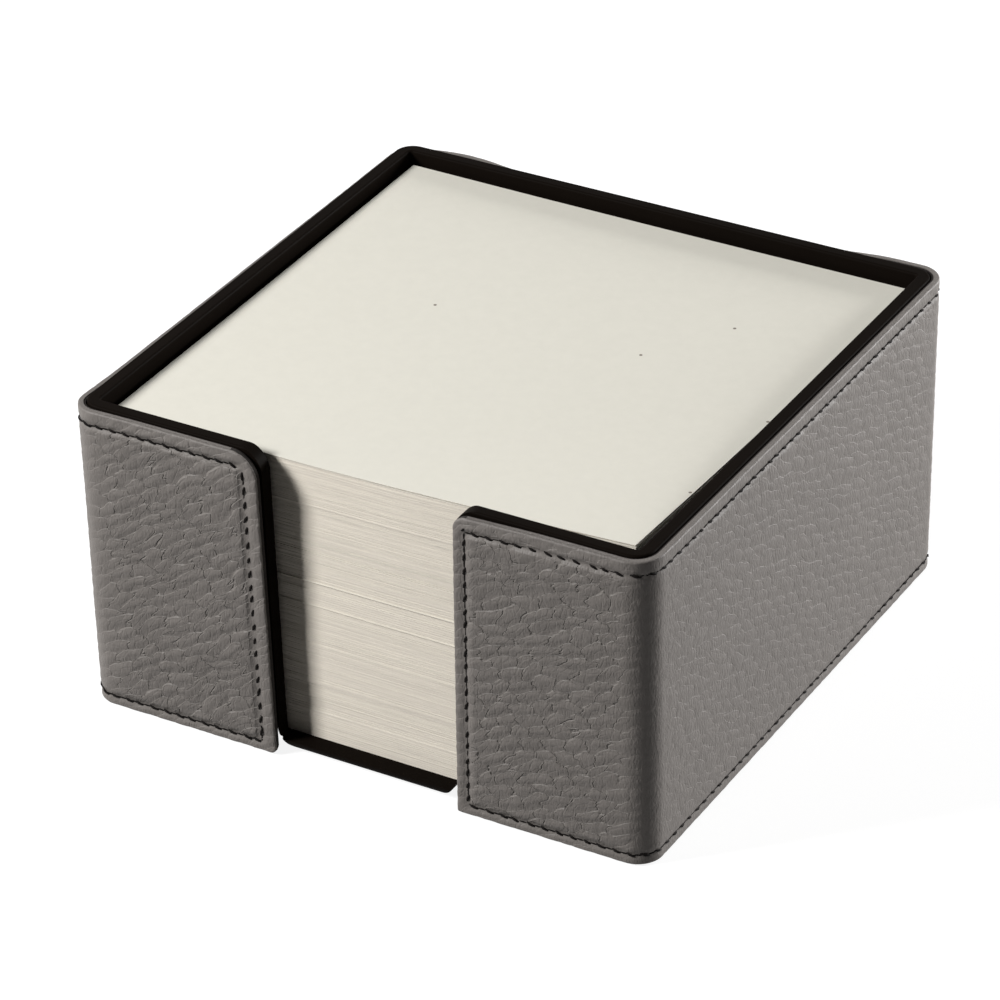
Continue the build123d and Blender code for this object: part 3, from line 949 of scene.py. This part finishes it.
class MEMOBOX_OT_leather_cover(bpy.types.Operator):
    """Builds the grained leather strip round the tray, with its two flaps and its cut edges"""

    bl_idname = "memobox.leather_cover"
    bl_label = "Leather Cover"

    def execute(self, context):
        leather = context.scene.memo_leather
        heights = row_heights(ROW_STEP, TOP_ROWS, FOOT_ROWS)
        s, z = strip_grid(heights, FACE_STEP, 0)
        face, relief = cover_face(s, z)
        # the back has the rows of both roundings, thinned out, and two rows between
        last = len(heights) - 1
        back_rows = sorted({
            0, FOOT_ROWS // 2, FOOT_ROWS, 60, 110, *range(last - TOP_ROWS, last, 3), last})
        points, faces = strip_solid(s, z, face, -LEATHER, back_rows)
        # the second material, on the flaps' ends and the foot, is stained dark and partly painted shade
        materials = [leather_material(leather), cut_material(leather)]
        piece = make_piece("leather_wrap", points, faces, materials, smooth=60)
        # the ends of the flaps come last, and the foot just before them
        cut = s.shape[1] - 1 + 2 * (len(back_rows) - 1)
        index = np.zeros(len(faces), dtype=np.int32)
        index[-cut:] = 1
        piece.data.polygons.foreach_set("material_index", index)
        away = np.concatenate([around(s)[1], np.zeros((*s.shape, 1))], -1)
        for name, kind, key, values in (
                ("pebble", "FLOAT_VECTOR", "vector", pebble_places(s, z, leather)),
                ("away", "FLOAT_VECTOR", "vector", away),
                ("relief", "FLOAT", "value", relief)):
            every = np.zeros((len(points), values.size // s.size))
            every[:s.size] = values.reshape(s.size, -1)
            layer = piece.data.attributes.new(name, kind, "POINT")
            layer.data.foreach_set(key, every.ravel())
        press_grain(piece, PRESSED_DEPTH * leather.grain_depth)
        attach(piece, "box")
        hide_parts("leather_cover")
        return {"FINISHED"}


class MEMOBOX_OT_cover_backing(bpy.types.Operator):
    """Builds the thin cloth behind the leather, a little short of its cut edges"""

    bl_idname = "memobox.cover_backing"
    bl_label = "Cover Backing"

    def execute(self, context):
        heights = row_heights(6 * MM, 10, 3)
        s, z = strip_grid(heights, 2.4 * MM, BACKING_RECESS)
        face = np.full_like(s, -LEATHER - BACKING_GAP)
        rows = list(range(len(heights)))
        points, faces = strip_solid(s, z, face, -LEATHER - BACKING, rows)
        material = backing_material(context.scene.memo_tray)
        piece = make_piece("cloth_backing", points, faces, [material], smooth=50)
        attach(piece, "box")
        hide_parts("cover_backing")
        return {"FINISHED"}


class MEMOBOX_OT_seam(bpy.types.Operator):
    """Sews the lockstitch seam: needle stitches outside and bobbin stitches behind, each with dark slots
    of painted shade between them
    """

    bl_idname = "memobox.seam"
    bl_label = "Seam"

    def execute(self, context):
        leather = context.scene.memo_leather
        thread, slot_shade = thread_material(leather), slot_shade_material(leather)
        for name, node, out, bulge in (
                ("needle_stitches", "needle_thread", -0.8 * SEAM_GROOVE, 0.17 * MM),
                ("bobbin_stitches", "bobbin_thread", -LEATHER - BACKING - 0.06 * MM, 0.02 * MM)):
            points, faces, slot_shades = stitches(leather, out, bulge)
            # the second material paints shade on the slots between the stitches
            piece = make_piece(name, points, faces + slot_shades, [thread, slot_shade], smooth=80)
            index = np.zeros(len(faces) + len(slot_shades), dtype=np.int32)
            index[len(faces):] = 1
            piece.data.polygons.foreach_set("material_index", index)
            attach(piece, "box")
            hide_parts(node)
        return {"FINISHED"}


class MEMOBOX_OT_note_sheets(bpy.types.Operator):
    """Stacks the loose note sheets, each a little askew"""

    bl_idname = "memobox.note_sheets"
    bl_label = "Note Sheets"

    def execute(self, context):
        paper = context.scene.memo_paper
        rng = np.random.default_rng(7)
        lines = np.array([-45, -20, 5, 18, 30, 38, 45]) / 90 * SHEET
        flat_x, flat_y = np.meshgrid(lines, -lines[::-1])
        step = (PILE_TOP - PILE_FOOT) / paper.sheets
        bundle = np.repeat(rng.standard_normal((paper.sheets // BUNDLE + 1, 3)), BUNDLE, axis=0)
        points, faces, used = [], [], 0
        for sheet in range(paper.sheets):
            # each sheet strays along, across and in its turn: mostly with its bundle, a few far
            stray = 0.75 * bundle[sheet] + 0.45 * rng.standard_normal(3)
            if rng.random() < 0.03:
                stray = stray + 1.6 * rng.standard_normal(3)
            stray = np.clip(stray, -4, 4) * paper.scatter
            if sheet >= paper.sheets - 2:
                stray[1] += 0.25 * MM
            x = flat_x - stray[2] / SHEET * 0.7 * flat_y + stray[0]
            y = flat_y + stray[2] / SHEET * 0.7 * flat_x + stray[1]
            share = np.clip((sheet / paper.sheets - 0.3) / 0.7, 0, 1) ** 1.4
            z = PILE_FOOT + sheet * step + share * sheet_lift(flat_x, flat_y, paper)
            low = np.stack([x, y, z], -1).reshape(-1, 3)
            added, quads = slab(lines, lines, low, low + np.array([0, 0, SHEET_THICK]))
            points.append(added)
            faces += (quads + used).tolist()
            used += len(added)
        material = paper_material(paper)
        piece = make_piece("note_sheets", np.concatenate(points), faces, [material], smooth=30)
        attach(piece, "sheet_pile")
        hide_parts("memo_sheets")
        return {"FINISHED"}


class MEMOBOX_OT_top_sheet(bpy.types.Operator):
    """Lays the uppermost sheet on the pile, with its gentle curl"""

    bl_idname = "memobox.top_sheet"
    bl_label = "Top Sheet"

    def execute(self, context):
        paper = context.scene.memo_paper
        lines = np.linspace(-SHEET / 2, SHEET / 2, 49)
        x, y = np.meshgrid(lines, lines)
        knots = np.random.default_rng(3).random((16, 16))
        ripple = 0.03 * MM * (1 + drift(x / (21 * MM) + 4, y / (26 * MM) + 4, knots))
        z = PILE_TOP + 0.02 * MM + sheet_lift(x, y, paper) + ripple
        low = np.stack([x, y, z], -1).reshape(-1, 3)
        points, faces = slab(lines, lines, low, low + np.array([0, 0, SHEET_THICK]))
        material = paper_material(paper)
        piece = make_piece("top_note_sheet", points, faces.tolist(), [material], smooth=30)
        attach(piece, "loose_sheet")
        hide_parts("top_sheet")
        return {"FINISHED"}


class MEMOBOX_OT_felt(bpy.types.Operator):
    """Builds the felt sheet under the tray, with soft cut edges"""

    bl_idname = "memobox.felt"
    bl_label = "Felt"

    def execute(self, context):
        half = FELT_HIGH.x
        turn = np.linspace(0, 2 * math.pi, 128, endpoint=False) + math.pi / 128
        knots = np.random.default_rng(2).random((32, 32))
        thick = FELT_HIGH.z - FELT_LOW.z
        points = []
        # insets from the felt's outline in mm, with the height as a share of its thickness
        profile = ((40, 0.04), (26, 0.04), (12, 0.04), (4, 0.04), (1, 0.02), (0.3, 0.03), (0.08, 0.15),
                   (0, 0.45), (0.1, 0.85), (0.35, 1), (4, 1), (40, 1))
        for inset, share in profile:
            radius = max(FELT_CORNER - inset * MM, 0.5 * MM)
            core = half - inset * MM - radius
            x = core * np.sign(np.cos(turn)) + radius * np.cos(turn)
            y = core * np.sign(np.sin(turn)) + radius * np.sin(turn)
            nap = 0.03 * MM * drift(x / (2 * MM) + 40, y / (2 * MM) + 40, knots)
            z = FELT_LOW.z + np.clip(thick * share + nap, 0, thick)
            points.append(np.stack([x, y, z], -1))
        index = np.arange(len(profile) * len(turn)).reshape(len(profile), -1)
        ahead = np.roll(index, -1, axis=1)
        quads = np.stack([index[:-1], ahead[:-1], ahead[1:], index[1:]], -1).reshape(-1, 4)
        faces = quads.tolist() + [index[0, ::-1].tolist(), index[-1].tolist()]
        material = felt_material(context.scene.memo_tray)
        piece = make_piece("felt_base", np.concatenate(points), faces, [material], smooth=70)
        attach(piece, "box")
        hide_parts("base_felt")
        return {"FINISHED"}


class MEMOBOX_OT_stage(bpy.types.Operator):
    """Sets up the pale floor, the three soft lamps, the surrounding light and the camera"""

    bl_idname = "memobox.stage"
    bl_label = "Stage"

    def execute(self, context):
        stage = context.scene.memo_stage
        self.lay_floor(stage)
        self.set_world(context.scene, stage)
        middle = Vector((0, 0, 26 * MM))
        # direction from the box as azimuth and elevation in degrees, distance and size in metres
        for name, power, azimuth, elevation, distance, size in (
                ("left_softbox", stage.left_lamp, -46, 33, 0.8, (0.18, 0.22)),
                ("back_softbox", stage.back_lamp, 144, 6, 0.7, (0.26, 0.3)),
                ("top_softbox", stage.top_lamp, 150, 62, 0.5, (0.2, 0.2))):
            lamp = bpy.data.lights.new(name, "AREA")
            lamp.shape = "RECTANGLE"
            lamp.size, lamp.size_y = size
            lamp.energy = power
            turn, lift = math.radians(azimuth), math.radians(elevation)
            way = Vector((math.sin(turn), -math.cos(turn), 0)) * math.cos(lift)
            way.z = math.sin(lift)
            holder = bpy.data.objects.new(name, lamp)
            holder.location = middle + distance * way
            holder.rotation_euler = way.to_track_quat("Z", "Y").to_euler()
            context.scene.collection.objects.link(holder)
        self.set_camera(context.scene, stage)
        context.scene.view_settings.view_transform = "Standard"
        return {"FINISHED"}

    def lay_floor(self, stage):
        """A wide pale floor that shows white where no shadow falls on it."""
        side = 3.0
        points = [(-side, -side, 0), (side, -side, 0), (side, side, 0), (-side, side, 0)]
        material = new_material("matt white paper sweep")
        tree = material.node_tree
        lit = add_node(tree, "ShaderNodeBsdfDiffuse", {"Color": rgba(stage.floor_colour)})
        white = add_node(tree, "ShaderNodeEmission", {"Color": (1, 1, 1, 1), "Strength": 0.88})
        shown = add_node(tree, "ShaderNodeAddShader", None, {0: lit.outputs[0], 1: white.outputs[0]})
        both = add_node(
            tree, "ShaderNodeMixShader", None,
            {0: seen_directly(tree), 1: lit.outputs[0], 2: shown.outputs[0]})
        add_node(tree, "ShaderNodeOutputMaterial", None, {"Surface": both.outputs[0]})
        floor = make_piece("floor", points, [(0, 1, 2, 3)], [material])

    def set_world(self, scene, stage):
        """Soft light from all round, white where it is seen."""
        world = bpy.data.worlds.new("studio")
        world.use_nodes = True
        world.node_tree.nodes.clear()
        tree = world.node_tree
        light = add_node(
            tree, "ShaderNodeBackground", {"Color": (1, 1, 1, 1), "Strength": stage.ambient})
        white = add_node(tree, "ShaderNodeBackground", {"Color": (1, 1, 1, 1), "Strength": 1.0})
        both = add_node(
            tree, "ShaderNodeMixShader", None,
            {0: seen_directly(tree), 1: light.outputs[0], 2: white.outputs[0]})
        add_node(tree, "ShaderNodeOutputWorld", None, {"Surface": both.outputs[0]})
        scene.world = world

    def set_camera(self, scene, stage):
        """The camera, by its place, the way it looks, its roll and its lens."""
        turn, tilt = stage.azimuth, stage.elevation
        ahead = Vector((-math.sin(turn), math.cos(turn), 0)) * math.cos(tilt)
        ahead.z = -math.sin(tilt)
        right = Vector((math.cos(turn), math.sin(turn), 0))
        right = right * math.cos(stage.roll) + right.cross(ahead) * math.sin(stage.roll)
        up = right.cross(ahead)
        camera = bpy.data.cameras.new("camera")
        camera.lens = stage.lens
        camera.sensor_width = 36
        camera.clip_start = 0.01
        holder = bpy.data.objects.new("camera", camera)
        axes = Matrix((right, up, -ahead)).transposed().to_4x4()
        holder.matrix_world = Matrix.Translation(stage.camera_place) @ axes
        scene.collection.objects.link(holder)
        scene.camera = holder


OPERATORS = (
    MEMOBOX_OT_tray, MEMOBOX_OT_leather_cover, MEMOBOX_OT_cover_backing, MEMOBOX_OT_seam,
    MEMOBOX_OT_note_sheets, MEMOBOX_OT_top_sheet, MEMOBOX_OT_felt, MEMOBOX_OT_stage,
)

SETTINGS = {
    "memo_leather": LeatherSettings,
    "memo_paper": PaperSettings,
    "memo_tray": TraySettings,
    "memo_stage": StageSettings,
}


class MEMOBOX_PT_panel(bpy.types.Panel):
    """Lists the memo box's settings and the operators that build it"""

    bl_idname = "MEMOBOX_PT_panel"
    bl_label = "Memo Box"
    bl_space_type = "VIEW_3D"
    bl_region_type = "UI"
    bl_category = "Memo Box"

    def draw(self, context):
        for name, group in SETTINGS.items():
            box = self.layout.box()
            box.label(text=group.__doc__)
            for setting in group.__annotations__:
                box.prop(getattr(context.scene, name), setting)
        for operator in OPERATORS:
            self.layout.operator(operator.bl_idname)


def register():
    for name, group in SETTINGS.items():
        bpy.utils.register_class(group)
        setattr(bpy.types.Scene, name, bpy.props.PointerProperty(type=group))
    for operator in OPERATORS:
        bpy.utils.register_class(operator)
    bpy.utils.register_class(MEMOBOX_PT_panel)


def unregister():
    bpy.utils.unregister_class(MEMOBOX_PT_panel)
    for operator in reversed(OPERATORS):
        bpy.utils.unregister_class(operator)
    for name, group in SETTINGS.items():
        delattr(bpy.types.Scene, name)
        bpy.utils.unregister_class(group)


def main():
    """Builds the whole memo box."""
    register()
    bpy.ops.memobox.tray()
    bpy.ops.memobox.leather_cover()
    bpy.ops.memobox.cover_backing()
    bpy.ops.memobox.seam()
    bpy.ops.memobox.note_sheets()
    bpy.ops.memobox.top_sheet()
    bpy.ops.memobox.felt()
    bpy.ops.memobox.stage()


if __name__ == "__main__":
    main()
